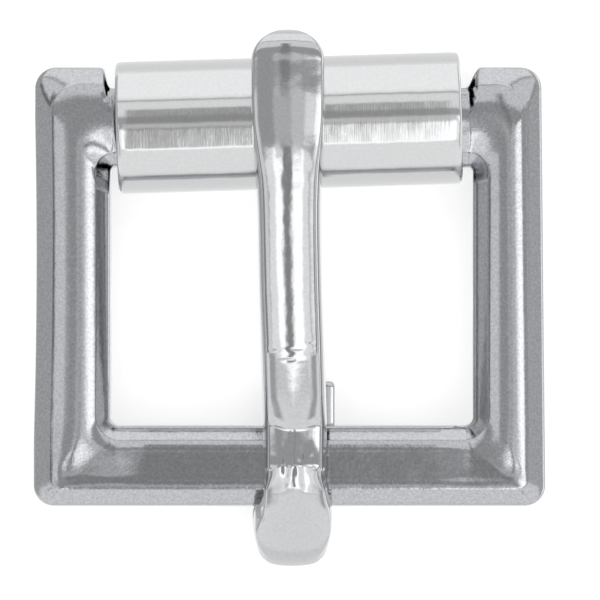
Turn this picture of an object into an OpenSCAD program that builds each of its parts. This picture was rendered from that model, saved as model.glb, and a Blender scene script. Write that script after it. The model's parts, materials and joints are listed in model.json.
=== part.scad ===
// Roller buckle for a 25 mm strap: a cast frame, a loose rolled-sheet roller on its front bar
// and a tongue that is hinged on a round journal in its strap bar.
// X runs along the bars, +Y points from the strap bar to the roller, +Z is the worn side.
// The origin is on the surface that the buckle lies on, under the middle of its outline.

/* [Frame] */
// Clear width of the opening, which is the strap's nominal width
opening_w = 25; // [20:0.5:32]
// Clear length of the opening, from the strap bar to the axle bar
opening_len = 17.8; // [15:0.1:24]
// Width of the left side bar at the strap end
left_bar_w = 5.37; // [4.4:0.01:6.5]
// Width of the right side bar at the strap end
right_bar_w = 5.05; // [4.2:0.01:6.5]
// How much narrower the left side bar is at the roller end
left_taper = 0.11; // [0:0.01:0.4]
// How much narrower the right side bar is at the roller end
right_taper = 0.26; // [0:0.01:0.4]
// Width of the strap bar
strap_bar_w = 5.6; // [4.8:0.05:7]
// Width of the axle bar inside the roller
axle_bar_w = 5.5; // [4.4:0.05:6.5]
// Thickness of the frame
bar_t = 4.2; // [3.6:0.05:5]
// Width of the sloping edge outside the crowned face
edge_run = 1.24; // [0.8:0.01:1.5]
// Width of the sloping edge inside the crowned face
inner_edge_run = 1.08; // [0.8:0.01:1.4]
// How far the left side bar's outer side is bowed in
left_bow = 0.14; // [0:0.01:0.3]
// How much the side bars' faces rise to the right, for each unit of width
face_lean = 0.1; // [0:0.01:0.14]
// Radius of the outer corners
outer_corner_r = 1.45; // [0.8:0.05:2.5]
// Radius of the face's outer corners at the roller end
top_corner_r = 2.1; // [1.4:0.05:2.4]
// Radius of the face's outer corners at the strap end
low_corner_r = 0.9; // [0.5:0.05:2]
// Radius of the inner corners at the strap bar
inner_corner_r = 0.6; // [0.3:0.05:1.2]
// Radius of the inner corners at the axle bar
axle_corner_r = 0.3; // [0.2:0.02:0.34]
// How far the corners stand in front of the axle bar
shoulder_h = 1.45; // [0.8:0.05:2]
// Length of the rounded step from the right corner down to the axle bar
shoulder_run = 1.2; // [0.8:0.02:1.3]
// Length of the rounded step from the left corner down to the axle bar
left_shoulder_run = 0.9; // [0.6:0.02:1]
// How far the left step starts outside the opening
left_shoulder_back = 0.85; // [0.7:0.01:1]
// How far the right step starts outside the opening
right_shoulder_back = 0.67; // [0.6:0.01:1]

/* [Roller] */
// Wall of the roller's rolled sheet
roller_wall = 0.88; // [0.6:0.02:1.2]
// Free space between the axle bar's widest edge and the roller's bore, if they were centred
roller_play = 0.92; // [0.85:0.01:1.4]
// Free length between the roller and the side bars, both ends together
roller_end_play = 1.32; // [0.9:0.02:2]
// How far the roller lies to the left of the opening's middle
roller_left = 0.19; // [0:0.01:0.3]
// Gap of the sheet's butt seam
seam_gap = 0.12; // [0.05:0.01:0.3]
// Radius of the roller's end edges
roller_edge_r = 0.26; // [0.1:0.02:0.4]

/* [Tongue] */
// Width of the shank
tongue_w = 4.4; // [3.6:0.05:5]
// Width of the tip's widest part
tip_w = 5.02; // [4.2:0.02:6]
// Width of the heel, beyond the strap bar
heel_w = 5.49; // [4.9:0.01:6.5]
// Width of the tail, behind the strap bar
tail_w = 4.8; // [4.2:0.05:6]
// Thickness of the shank
tongue_t = 3; // [2.4:0.05:3.6]
// Thickness over the strap bar
loop_t = 3.17; // [2.6:0.01:3.8]
// Thickness of the heel
heel_t = 3.62; // [3:0.02:4.5]
// Thickness of the leg behind the strap bar, which the buckle lies on
leg_t = 1.52; // [1.1:0.02:2.2]
// Length of the tail from the hinge
tail_len = 6; // [4.5:0.05:7.5]
// How far the tip reaches past the roller's axis
tip_overhang = 6.18; // [5.2:0.02:8]
// Length of the tip's rounded end
tip_round = 2.1; // [1.4:0.05:2.6]

/* [Hinge] */
// How much the journal is let in below the bar's face
journal_inset = 0.05; // [0.02:0.01:0.2]
// Radial gap between the journal and the eye
eye_gap = 0.08; // [0.03:0.01:0.1]
// Play of the eye beyond the journal, towards the heel
eye_play = 1; // [0.6:0.05:1.4]
// How far the journal's middle lies outside the strap bar's middle
journal_out = 0.2; // [0:0.02:0.3]
// Gap between the loop's sides and the ends of the journal
side_gap = 0.15; // [0.08:0.01:0.3]
// How much narrower the loop is inside the journal's notch than the shank
band_narrow = 0.9; // [0.7:0.02:1.2]
// How far the hinge lies to the right of the frame's middle
hinge_right = 0.55; // [0:0.01:0.8]
// Gap between the resting tongue and the roller
rest_gap = 0.06; // [0.03:0.01:0.1]
// Gap between the frame's edges and what turns past them
swing_gap = 0.16; // [0.06:0.01:0.3]

/* [Hidden] */
$fn = 96;
CORNER_STEPS = 7;
BAR_STEPS = 6;
LOOP_STEPS = 22;
SHANK_STEPS = 40;
TIP_STEPS = 8;

// Hinge and eye
journal_r = bar_t / 2 - journal_inset;
eye_r = journal_r + eye_gap;
hinge_z = leg_t + eye_r;
loop_reach = eye_r + eye_play + heel_t;

// Roller
bore_r = axle_bar_w / 2 + roller_play;
roller_r = bore_r + roller_wall;
roller_len = opening_w - roller_end_play;
// The roller lies aslant, as far forward as its play lets it at its right end
roller_forward = 0.36 * roller_play;
roller_skew = atan(0.384 * roller_play / (roller_len / 2));

// Layout along Y: the outline's middle is at 0
hinge_to_axle = journal_out + strap_bar_w / 2 + opening_len + axle_bar_w / 2;
tongue_reach = hinge_to_axle + roller_forward + tip_overhang;
hinge_y = (loop_reach - tongue_reach) / 2;
strap_bar_y = hinge_y + journal_out;
opening_low = strap_bar_y + strap_bar_w / 2;
opening_high = opening_low + opening_len;
axle_y = opening_high + axle_bar_w / 2;
frame_low = strap_bar_y - strap_bar_w / 2;
frame_high = opening_high + axle_bar_w + shoulder_h;
roller_y = axle_y + roller_forward;

// Layout along X
frame_w = left_bar_w + opening_w + right_bar_w;
opening_left = left_bar_w - frame_w / 2;
opening_right = opening_left + opening_w;
roller_x = (opening_left + opening_right) / 2 - roller_left;

// Tongue heights
loop_top = eye_r + loop_t + hinge_z;
rest_z = 2 * roller_r + rest_gap;
tip_top = rest_z + tongue_t;
band_w = tongue_w - band_narrow;
notch_w = band_w + 2 * side_gap;
// Largest radius of the strap bar's edges about the hinge
bar_sweep_r = norm([strap_bar_w / 2 + journal_out, bar_t * 0.3]) + swing_gap;

function mix(a, b, t) = a + (b - a) * t;

// 0 below low and 1 above high, smooth between them
function smooth(low, high, x) =
    let (t = min(max((x - low) / (high - low), 0), 1))
    t * t * (3 - 2 * t);

// Row of a table whose first column holds s
function row_at(rows, s, i = 0) =
    i >= len(rows) - 2 || s < rows[i + 1][0] ? i : row_at(rows, s, i + 1);

// Smooth curve through column c of a table, at the value s of its first column
function curve(rows, c, s) =
    let (
        i = row_at(rows, s),
        before = rows[max(i - 1, 0)],
        here = rows[i],
        next = rows[i + 1],
        after = rows[min(i + 2, len(rows) - 1)],
        span = next[0] - here[0],
        t = (s - here[0]) / span,
        m0 = (next[c] - before[c]) / (next[0] - before[0]) * span,
        m1 = (after[c] - here[c]) / (after[0] - here[0]) * span
    )
    here[c] * (2 * t * t * t - 3 * t * t + 1) + m0 * (t * t * t - 2 * t * t + t)
        + next[c] * (3 * t * t - 2 * t * t * t) + m1 * (t * t * t - t * t);

// Faces of a skin through rings of equal length; a closed skin joins its last ring to its first
function skin_faces(rings, closed) =
    let (n = len(rings[0]), last = len(rings) - (closed ? 0 : 1))
    concat(
        [for (i = [0 : last - 1], j = [0 : n - 1], half = [0, 1])
            let (
                a = i * n + j,
                b = i * n + (j + 1) % n,
                c = ((i + 1) % len(rings)) * n + (j + 1) % n,
                d = ((i + 1) % len(rings)) * n + j
            )
            half == 0 ? [a, b, c] : [a, c, d]],
        closed ? [] : [
            [for (j = [n - 1 : -1 : 0]) j],
            [for (j = [0 : n - 1]) (len(rings) - 1) * n + j]
        ]
    );

module skin(rings, closed = false) {
    polyhedron(points = [for (ring = rings) each ring], faces = skin_faces(rings, closed));
}

// Half of the bar's section, from its outer silhouette to its crowned face.
// inset: share of the edge's run inwards from the bar's edge
// up: share of half the thickness
EDGE_ROWS = [
    // inset, up
    [0.00, -0.60],
    [0.00, -0.05],
    [0.02, 0.28],
    [0.10, 0.46],
    [0.30, 0.58],
    [0.60, 0.71],
    [0.90, 0.83],
    [1.00, 0.87]
];
// Rounded edge of the back
BACK_ROWS = [
    // inset, up
    [0.50, -1.00],
    [0.25, -0.94],
    [0.08, -0.80]
];
// Crowned face between the two edges
CROWN_ROWS = [
    // across, up
    [0.12, 0.945],
    [0.25, 0.978],
    [0.38, 0.994],
    [0.50, 1.000],
    [0.62, 0.994],
    [0.75, 0.978],
    [0.88, 0.945]
];
// The side bars' faces are rounder on their right sides: what is added to the left bar's height
ROUND_ROWS = [
    // across, up
    [0.00, 0.016],
    [0.12, -0.003],
    [0.25, 0.000],
    [0.50, 0.000],
    [0.62, -0.001],
    [0.75, -0.010],
    [0.88, -0.033],
    [1.00, -0.044]
];
// The strap bar's face falls evenly towards the opening: what is added to the height
TILT_ROWS = [
    // across, up
    [0.00, 0.125],
    [0.12, 0.050],
    [0.25, -0.010],
    [0.38, -0.042],
    [0.50, -0.064],
    [0.62, -0.073],
    [0.75, -0.074],
    [0.88, -0.057],
    [1.00, -0.035]
];
// Flat back between its two rounded edges
FLAT_ROWS = [
    // across, up
    [0.67, -1.00],
    [0.33, -1.00]
];

function reversed(rows) = [for (i = [len(rows) - 1 : -1 : 0]) rows[i]];

// The whole section, once round.
// across: 0 at the outer edge and 1 at the inner edge, inset and up as above
BAR_SECTION = concat(
    [for (r = EDGE_ROWS) [0, r[0], r[1]]],
    [for (r = CROWN_ROWS) [r[0], 1, r[1]]],
    [for (r = reversed(EDGE_ROWS)) [1, r[0], r[1]]],
    [for (r = reversed(BACK_ROWS)) [1, r[0], r[1]]],
    [for (r = FLAT_ROWS) [r[0], BACK_ROWS[0][0], r[1]]],
    [for (r = BACK_ROWS) [0, r[0], r[1]]]
);

// Corners of the ring, counter-clockwise from the front right one.
// Each row is the corner's direction and its first angle
CORNERS = [
    // x, y, angle
    [1, 1, 0],
    [-1, 1, 90],
    [-1, -1, 180],
    [1, -1, 270]
];

// Outer corner k moved inwards by d
function outer_corner(k, d) =
    let (
        c = CORNERS[k],
        taper = c[1] < 0 ? 0 : c[0] < 0 ? left_taper : right_taper
    )
    [c[0] * (frame_w / 2 - taper - d), c[1] > 0 ? frame_high - d : frame_low + d];

// Inner corner k moved outwards by d
function inner_corner(k, d) =
    let (c = CORNERS[k])
    [
        c[0] > 0 ? opening_right + d : opening_left - d,
        c[1] > 0 ? opening_high + d : opening_low - d
    ];

// Point of a rounded corner at share t of its quarter turn
function corner_point(corner, k, r, t) =
    let (c = CORNERS[k], a = c[2] + 90 * t)
    corner + r * [cos(a) - c[0], sin(a) - c[1]];

// How far inwards a section row lies from the outer and from the inner edge
function outer_in(row) = row[1] * edge_run;
function inner_in(row) = row[1] * inner_edge_run;

// Share of a section row that belongs to the face
function face_share(row) = smooth(0.3, 0.5, row[2]);

// Height of a section row, with the strap bar's tilt to the share tilted
function row_z(row, tilted = 0) =
    hinge_z + (row[2] + tilted * face_share(row) * curve(TILT_ROWS, 1, row[0])) * bar_t / 2;

// Point of the section's row at corner k and share t
function ring_point(row, k, t) =
    let (
        low = CORNERS[k][1] < 0,
        outer_r = mix(outer_corner_r, low ? low_corner_r : top_corner_r, row[1]),
        outer = corner_point(outer_corner(k, outer_in(row)), k, outer_r, t),
        inner_r = (low ? inner_corner_r : axle_corner_r) + inner_in(row),
        inner = corner_point(inner_corner(k, inner_in(row)), k, inner_r, t),
        p = mix(outer, inner, row[0])
    )
    [p[0], p[1], row_z(row, low ? smooth(0, 1, CORNERS[k][0] < 0 ? t : 1 - t) : 0)];

function corner_rings(k) = [
    for (i = [0 : CORNER_STEPS]) [for (row = BAR_SECTION) ring_point(row, k, i / CORNER_STEPS)]
];

// How steep the axle bar's outer edge is above its middle: share of the edge's run
AXLE_EDGE = 0.3;

// Ring of the axle bar: the bar's section above its middle and a half ellipse below
function axle_ring(outer_x, inner_x) = [
    for (row = BAR_SECTION)
        let (
            half = axle_bar_w / 2,
            a = atan2(row[2], mix(half - outer_in(row), inner_in(row) - half, row[0]) / half),
            edge = mix(half - outer_in(row) * AXLE_EDGE, inner_in(row) - half, row[0])
        )
        [
            mix(outer_x, inner_x, row[0]),
            axle_y + (row[2] < 0 ? half * cos(a) : edge),
            hinge_z + bar_t / 2 * (row[2] < 0 ? sin(a) : row[2])
        ]
];

// Ring of the full section where a corner ends, from its outer to its inner edge's x
function shoulder_ring(outer_x, inner_x) = [
    for (row = BAR_SECTION)
        [
            mix(outer_x, inner_x, row[0]),
            mix(frame_high - outer_in(row), opening_high + inner_in(row), row[0]),
            row_z(row)
        ]
];

// The rounded step of each corner, down to the axle bar.
// run: share of its length, left and right: share of the step
STEP_ROWS = [
    // run, left, right
    [0.00, 0.000, 0.000],
    [0.20, 0.010, 0.045],
    [0.35, 0.050, 0.190],
    [0.45, 0.160, 0.320],
    [0.55, 0.380, 0.490],
    [0.65, 0.640, 0.680],
    [0.75, 0.850, 0.860],
    [0.87, 0.960, 0.966],
    [1.00, 1.000, 1.000]
];

// How far the inner edge moves inwards over a step
inner_run = 0.1;

// Rings over a step, from the corner to the axle bar; inward is 1 at the left and -1 at the right
function step_rings(outer_x, inner_x, run, inward) = [
    for (row = STEP_ROWS)
        let (
            x = outer_x + inward * run * row[0],
            inner = inner_x + inward * inner_run * row[0],
            share = row[inward > 0 ? 1 : 2]
        )
        mix(shoulder_ring(x, inner), axle_ring(x, inner), share)
];

// Rings between two rings, without both
function between(first, last) = [for (i = [1 : BAR_STEPS - 1]) mix(first, last, i / BAR_STEPS)];

RIGHT_STEPS = step_rings(
    opening_right + right_shoulder_back, opening_right - axle_corner_r, shoulder_run, -1
);
LEFT_STEPS = step_rings(
    opening_left - left_shoulder_back, opening_left + axle_corner_r, left_shoulder_run, 1
);
PLAIN_RINGS = concat(
    corner_rings(0),
    RIGHT_STEPS,
    reversed(LEFT_STEPS),
    corner_rings(1),
    between(corner_rings(1)[CORNER_STEPS], corner_rings(2)[0]),
    corner_rings(2),
    corner_rings(3)
);

// The left bar's outer side is bowed in between its ends
bow_y = (opening_low + opening_high) / 2 + 0.04 * opening_len;
bow_half = 0.62 * opening_len;
function bow(p) =
    let (along = max(1 - pow((p[1] - bow_y) / bow_half, 2), 0))
    left_bow * along * smooth(-opening_left, frame_w / 2, -p[0]);

// The side bars' faces lean a little and are rounder on their right
function lean(p, row) =
    let (
        left = p[0] < 0,
        from_middle = p[0] - (left ? opening_left - frame_w / 2 : opening_right + frame_w / 2) / 2,
        bar = (left ? left_bar_w : right_bar_w) / 2,
        inside = left ? p[0] - opening_left : opening_right - p[0],
        low = [frame_low + 0.18 * strap_bar_w, opening_low + 0.14 * strap_bar_w],
        share = (1 - smooth(0, bar, inside)) * smooth(low[0], low[1], p[1]),
        reach = left ? [-0.52 * bar, 1.04 * bar] : [-1.04 * bar, 0.52 * bar],
        rounded = curve(ROUND_ROWS, 1, left ? row[0] : 1 - row[0]) * bar_t / 2
    )
    (face_lean * min(max(from_middle, reach[0]), reach[1]) + rounded) * face_share(row) * share;

FRAME_RINGS = [
    for (ring = PLAIN_RINGS)
        [for (i = [0 : len(ring) - 1])
            ring[i] + [bow(ring[i]), 0, lean(ring[i], BAR_SECTION[i])]]
];

// Space round the journal that is cut out of the strap bar
module journal_notch() {
    translate([hinge_right, hinge_y, hinge_z])
    difference() {
        cube([notch_w, 2 * strap_bar_w, 2 * bar_t], center = true);
        rotate([0, 90, 0])
            cylinder(r = journal_r, h = 2 * notch_w, center = true);
    }
}

module frame() {
    color("silver")
    difference() {
        skin(FRAME_RINGS, closed = true);
        journal_notch();
    }
}

// Half of the rolled sheet's section along its length, with rounded ends
module roller_section() {
    end = roller_len / 2 - roller_edge_r;
    translate([bore_r, -roller_len / 2])
        square([roller_wall - roller_edge_r, roller_len]);
    translate([bore_r, -end])
        square([roller_wall, 2 * end]);
    for (side = [-1, 1])
        translate([roller_r - roller_edge_r, side * end])
            circle(r = roller_edge_r, $fn = 32);
}

module roller() {
    color("gainsboro")
    translate([roller_x, roller_y, roller_r])
    rotate([0, 0, roller_skew])
    rotate([0, 90, 0])
    difference() {
        rotate_extrude()
            roller_section();
        // The butt seam lies below and behind
        rotate([0, 0, 40])
        translate([0, -seam_gap / 2, -roller_len])
            cube([2 * roller_r, seam_gap, 2 * roller_len]);
    }
}

// Half of the tongue's section, from the middle of its outer face to its inner face.
// across: share of half the width, also at the heel and at the tip
// out: share of the thickness
TONGUE_ROWS = [
    // across, out, across at the heel, across at the tip
    [0.00, 1.000, 0.00, 0.00],
    [0.30, 0.994, 0.26, 0.30],
    [0.55, 0.975, 0.45, 0.57],
    [0.74, 0.940, 0.60, 0.86],
    [0.84, 0.890, 0.70, 0.95],
    [0.92, 0.770, 0.84, 0.98],
    [0.97, 0.560, 0.94, 0.995],
    [1.00, 0.300, 1.00, 1.00],
    [0.99, 0.120, 0.99, 0.99],
    [0.90, 0.000, 0.90, 0.90],
    [0.45, 0.000, 0.45, 0.45]
];
TONGUE_SECTION = concat(
    TONGUE_ROWS,
    [for (i = [len(TONGUE_ROWS) - 1 : -1 : 1])
        let (r = TONGUE_ROWS[i])
        [-r[0], r[1], -r[2], -r[3]]]
);

// The shank from the hinge to where the tip's rounded end starts.
// way: share of that length
// top, under: 0 at the loop and 1 over the roller, as shares of the rise of that side
// wide: 0 at the shank's width and 1 at the tip's
// right: share of hinge_right that the middle lies to the right
SHANK_ROWS = [
    // way, top, under, wide, right
    [0.0000, -0.006, -0.12, 0.00, 0.66],
    [0.0140, 0.000, -0.09, 0.00, 0.66],
    [0.0400, -0.020, -0.05, 0.00, 0.66],
    [0.0610, -0.034, -0.03, 0.00, 0.67],
    [0.0940, -0.050, 0.04, 0.00, 0.68],
    [0.0980, -0.050, 0.06, 0.00, 0.68],
    [0.1020, -0.034, 0.07, 0.00, 0.68],
    [0.1270, 0.072, 0.14, 0.00, 0.65],
    [0.2750, 0.560, 0.52, 0.00, 0.44],
    [0.2970, 0.603, 0.58, 0.00, 0.40],
    [0.4580, 0.735, 0.74, 0.00, 0.13],
    [0.6310, 0.875, 0.92, 0.00, -0.02],
    [0.7130, 0.935, 0.98, 0.26, -0.07],
    [0.7940, 0.985, 1.00, 0.62, -0.13],
    [0.9060, 1.000, 1.00, 1.00, -0.18],
    [1.0000, 0.985, 1.00, 0.98, -0.18]
];

// The loop from over the strap bar, round the heel, to the leg behind it.
// turn: share of the half turn
// out: share of the squared outline's radius
// wide: share of half the heel's width
// right: share of hinge_right that the middle lies to the right
LOOP_ROWS = [
    // turn, out, wide, right
    [0.000, 0.992, 0.78, 0.66],
    [0.050, 0.973, 0.78, 0.67],
    [0.100, 0.943, 0.79, 0.70],
    [0.140, 0.912, 0.81, 0.76],
    [0.190, 0.878, 0.86, 0.84],
    [0.220, 0.862, 0.885, 0.82],
    [0.250, 0.854, 0.925, 0.68],
    [0.280, 0.852, 0.955, 0.52],
    [0.340, 0.875, 0.975, 0.42],
    [0.400, 0.928, 0.985, 0.38],
    [0.450, 0.968, 0.985, 0.36],
    [0.500, 1.000, 0.980, 0.36],
    [0.720, 1.000, 0.980, 0.38],
    [0.860, 1.000, 0.80, 0.70],
    [1.000, 1.000, 0.64, 1.00]
];
// How square the loop's outline is, seen from the side
LOOP_SQUARE = 2.4;

// A ring of the tongue's skin: from, the point that the thickness is measured from; out, the
// direction of its outer face; inner and outer, the distances of its two faces; and half its
// width and its middle along X. heel and tip: shares of those two sections
function tongue_ring(from, out, inner, outer, half_w, x, heel = 0, tip = 0) = [
    for (p = TONGUE_SECTION)
        let (r = mix(inner, outer, p[1]), across = mix(mix(p[0], p[3], tip), p[2], heel))
        [x + half_w * across, from[0] + out[0] * r, from[1] + out[1] * r]
];

// Start of the tip's rounded end, from the hinge
tip_start = tongue_reach - tip_round;

// shrink and low: shares of the width and of the thickness that are kept at the tip
function shank_ring(way, shrink = 1, low = 1, along = 0) =
    let (
        top = mix(loop_top, tip_top, curve(SHANK_ROWS, 1, way)),
        under = mix(hinge_z + eye_r, rest_z, curve(SHANK_ROWS, 2, way)),
        half_w = mix(tongue_w, tip_w, curve(SHANK_ROWS, 3, way)) / 2,
        x = hinge_right * curve(SHANK_ROWS, 4, way),
        // The rounded end closes on a line below the middle of its thickness
        close = mix(under, top, 0.42)
    )
    tongue_ring(
        [hinge_y + way * tip_start + along, 0], [0, 1],
        mix(close, under, low), mix(close, top, low), half_w * shrink, x,
        tip = smooth(0.68, 0.86, way)
    );

// Radius of the loop's outer face at a turn from 0, over the bar, to 180, behind it
function loop_radius(turn) =
    let (up = turn < 90 ? loop_top - hinge_z : hinge_z)
    pow(
        pow(abs(sin(turn)) / loop_reach, LOOP_SQUARE) + pow(abs(cos(turn)) / up, LOOP_SQUARE),
        -1 / LOOP_SQUARE
    );

// The loop's inner face is left inside the eye, which is then bored out
loop_inner = eye_r - 0.35;

function loop_ring(share) =
    let (turn = 180 * share)
    tongue_ring(
        [hinge_y, hinge_z], [-sin(turn), cos(turn)], loop_inner,
        loop_radius(turn) * curve(LOOP_ROWS, 1, share),
        heel_w / 2 * curve(LOOP_ROWS, 2, share), hinge_right * curve(LOOP_ROWS, 3, share),
        heel = smooth(0.3, 0.46, share) * (1 - smooth(0.6, 0.85, share)),
        tip = smooth(0.02, 0.1, share)
    );

// How much longer than its straight part the tail's rounded end is
tail_round = 0.4;
tail_x = hinge_right + (tail_w - tongue_w) / 2;
function tail_ring(along, shrink) =
    let (t = smooth(0.1, 0.5, along / tail_len))
    tongue_ring(
        [hinge_y + along, hinge_z], [0, -1], mix(eye_r + tail_round / 2, eye_r, shrink),
        mix(hinge_z - tail_round / 2, hinge_z, shrink),
        mix(band_w, tail_w, t) / 2 * shrink, mix(hinge_right, tail_x, t), tip = 1
    );

TONGUE_RINGS = concat(
    [for (i = [TIP_STEPS : -1 : 1])
        let (out = sin(88 * i / TIP_STEPS))
        shank_ring(1, pow(1 - out * out, 0.485), pow(1 - pow(out, 4), 0.5), tip_round * out)],
    [for (i = [SHANK_STEPS : -1 : 1]) shank_ring(i / SHANK_STEPS)],
    [for (i = [0 : LOOP_STEPS]) loop_ring(i / LOOP_STEPS)],
    [for (along = [0.2 : 0.2 : 1]) tail_ring(along * (tail_len - tail_round), 1)],
    [tail_ring(tail_len - 0.3 * tail_round, 0.97), tail_ring(tail_len, 0.88)]
);

// The eye: a true bore that fits the journal, lengthened towards the heel
module eye() {
    for (out = [0, eye_play])
        translate([hinge_right, hinge_y - out, hinge_z])
            rotate([0, 90, 0])
                cylinder(r = eye_r, h = 2 * heel_w, center = true);
    translate([hinge_right - heel_w, hinge_y - eye_play, hinge_z - eye_r])
        cube([2 * heel_w, eye_play, 2 * eye_r]);
}

// Room for the strap bar's edges beside the notch, as the loop turns past them
module bar_relief() {
    for (side = [0, 1])
        mirror([side, 0, 0])
            translate([(side == 0 ? 1 : -1) * hinge_right + band_w / 2, hinge_y, hinge_z])
                rotate([0, 90, 0])
                    cylinder(r = bar_sweep_r, h = heel_w);
}

module tongue() {
    color("lightgray")
    difference() {
        skin(TONGUE_RINGS);
        eye();
        bar_relief();
        // Gap between the shank and the leg
        translate([-heel_w, hinge_y, hinge_z - eye_r])
            cube([2 * heel_w, tongue_reach, eye_r]);
    }
}

frame();
roller();
tongue();
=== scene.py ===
"""Roller buckle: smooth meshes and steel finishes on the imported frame, in soft studio light.

Sizes are in millimetres, as in the part's source, and become metres when a mesh is made.
X runs along the bars, +Y points from the strap bar to the roller, +Z is the worn side.
"""
import json
import math

import bpy
import numpy as np
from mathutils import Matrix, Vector, noise


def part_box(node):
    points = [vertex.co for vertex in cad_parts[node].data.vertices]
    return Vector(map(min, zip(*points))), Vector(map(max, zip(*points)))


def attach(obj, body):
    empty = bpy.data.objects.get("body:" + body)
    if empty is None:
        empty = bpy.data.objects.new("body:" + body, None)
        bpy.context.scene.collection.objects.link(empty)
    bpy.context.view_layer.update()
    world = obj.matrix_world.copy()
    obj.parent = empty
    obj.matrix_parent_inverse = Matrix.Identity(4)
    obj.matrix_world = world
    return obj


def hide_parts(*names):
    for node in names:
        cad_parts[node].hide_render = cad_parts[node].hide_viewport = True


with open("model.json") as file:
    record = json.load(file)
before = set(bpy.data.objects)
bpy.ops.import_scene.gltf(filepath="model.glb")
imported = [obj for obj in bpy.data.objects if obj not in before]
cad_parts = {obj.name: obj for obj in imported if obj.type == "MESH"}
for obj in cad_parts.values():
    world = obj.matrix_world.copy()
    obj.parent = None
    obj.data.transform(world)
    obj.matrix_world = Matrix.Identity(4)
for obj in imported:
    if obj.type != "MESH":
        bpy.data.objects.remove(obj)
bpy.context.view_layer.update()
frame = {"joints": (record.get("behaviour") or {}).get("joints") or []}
MM = 0.001


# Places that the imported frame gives

def joint_place(name):
    """A joint's point in millimetres and its axis."""
    joint = next(j for j in frame["joints"] if j["name"] == name)
    return np.array(joint["pos_m"]) / MM, np.array(joint["axis"], float)


HINGE, _ = joint_place("tongue_hinge")
ROLLER_MIDDLE, ROLLER_AXIS = joint_place("roller_spin")

# Frame, as in the part's source
OPENING_W = 25.0
OPENING_LEN = 17.8
LEFT_BAR_W = 5.37
RIGHT_BAR_W = 5.05
LEFT_TAPER = 0.11
RIGHT_TAPER = 0.26
STRAP_BAR_W = 5.6
AXLE_BAR_W = 5.5
BAR_T = 4.2
OUTER_EDGE_RUN = 1.24
INNER_EDGE_RUN = 1.08
LEFT_BOW = 0.14
OUTER_CORNER_R = 1.45
TOP_CORNER_R = 2.1
LOW_CORNER_R = 0.9
FACE_LEAN = 0.10
INNER_CORNER_R = 0.6
AXLE_CORNER_R = 0.3
SHOULDER_H = 1.45
SHOULDER_RUN = 1.2
LEFT_SHOULDER_RUN = 0.9
LEFT_SHOULDER_BACK = 0.85
RIGHT_SHOULDER_BACK = 0.67
INNER_RUN = 0.1
AXLE_EDGE = 0.3
JOURNAL_OUT = 0.2

# Roller
ROLLER_WALL = 0.88
ROLLER_PLAY = 0.92
ROLLER_END_PLAY = 1.32
SEAM_GAP = 0.12
SEAM_ANGLE = math.radians(40)
ROLLER_EDGE_R = 0.26
BORE_EDGE_R = 0.08
ROLLER_CURL = 0.045
ROLLER_CURL_RUN = 0.75

# Tongue
TONGUE_W = 4.4
TIP_W = 5.02
HEEL_W = 5.49
TAIL_W = 4.8
TONGUE_T = 3.0
LOOP_T = 3.17
HEEL_T = 3.62
TAIL_LEN = 6.0
TAIL_ROUND = 0.4
TIP_ROUND = 2.1
LOOP_SQUARE = 2.4
EYE_GAP = 0.08
EYE_PLAY = 1.0
JOURNAL_INSET = 0.05
SIDE_GAP = 0.15
BAND_NARROW = 0.9
REST_GAP = 0.06
SWING_GAP = 0.16

# Worked out, as in the part's source
HINGE_X, HINGE_Y, HINGE_Z = HINGE
JOURNAL_R = BAR_T / 2 - JOURNAL_INSET
EYE_R = JOURNAL_R + EYE_GAP
LOOP_REACH = EYE_R + EYE_PLAY + HEEL_T
STRAP_BAR_Y = HINGE_Y + JOURNAL_OUT
OPENING_LOW = STRAP_BAR_Y + STRAP_BAR_W / 2
OPENING_HIGH = OPENING_LOW + OPENING_LEN
AXLE_Y = OPENING_HIGH + AXLE_BAR_W / 2
FRAME_LOW = STRAP_BAR_Y - STRAP_BAR_W / 2
FRAME_HIGH = OPENING_HIGH + AXLE_BAR_W + SHOULDER_H
FRAME_W = LEFT_BAR_W + OPENING_W + RIGHT_BAR_W
OPENING_LEFT = LEFT_BAR_W - FRAME_W / 2
OPENING_RIGHT = OPENING_LEFT + OPENING_W
BORE_R = AXLE_BAR_W / 2 + ROLLER_PLAY
ROLLER_R = BORE_R + ROLLER_WALL
ROLLER_LEN = OPENING_W - ROLLER_END_PLAY
TIP_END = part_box("tongue")[1].y / MM
TONGUE_REACH = TIP_END - HINGE_Y
LOOP_TOP = EYE_R + LOOP_T + HINGE_Z
REST_Z = 2 * ROLLER_R + REST_GAP
TIP_TOP = REST_Z + TONGUE_T
BAND_W = TONGUE_W - BAND_NARROW
NOTCH_W = BAND_W + 2 * SIDE_GAP
# Height of the strap bar's widest edge over its middle, as a share of its thickness
BAR_EDGE_UP = 0.3
BAR_SWEEP_R = math.hypot(STRAP_BAR_W / 2 + JOURNAL_OUT, BAR_T * BAR_EDGE_UP) + SWING_GAP


# Mesh helpers

def mix(a, b, t):
    return a + (b - a) * t


def smooth_step(low, high, x):
    t = np.clip((x - low) / (high - low), 0, 1)
    return t * t * (3 - 2 * t)


def curve(rows, column, s):
    """Smooth curve through a column of a table, at s of its first column."""
    keys = [row[0] for row in rows]
    i = min(max(np.searchsorted(keys, s, side="right") - 1, 0), len(rows) - 2)
    before = rows[max(i - 1, 0)]
    here = rows[i]
    after = rows[i + 1]
    later = rows[min(i + 2, len(rows) - 1)]
    span = after[0] - here[0]
    t = (s - here[0]) / span
    m0 = (after[column] - before[column]) / (after[0] - before[0]) * span
    m1 = (later[column] - here[column]) / (later[0] - here[0]) * span
    return (
        here[column] * (2 * t**3 - 3 * t**2 + 1)
        + m0 * (t**3 - 2 * t**2 + t)
        + after[column] * (3 * t**2 - 2 * t**3)
        + m1 * (t**3 - t**2)
    )


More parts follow.
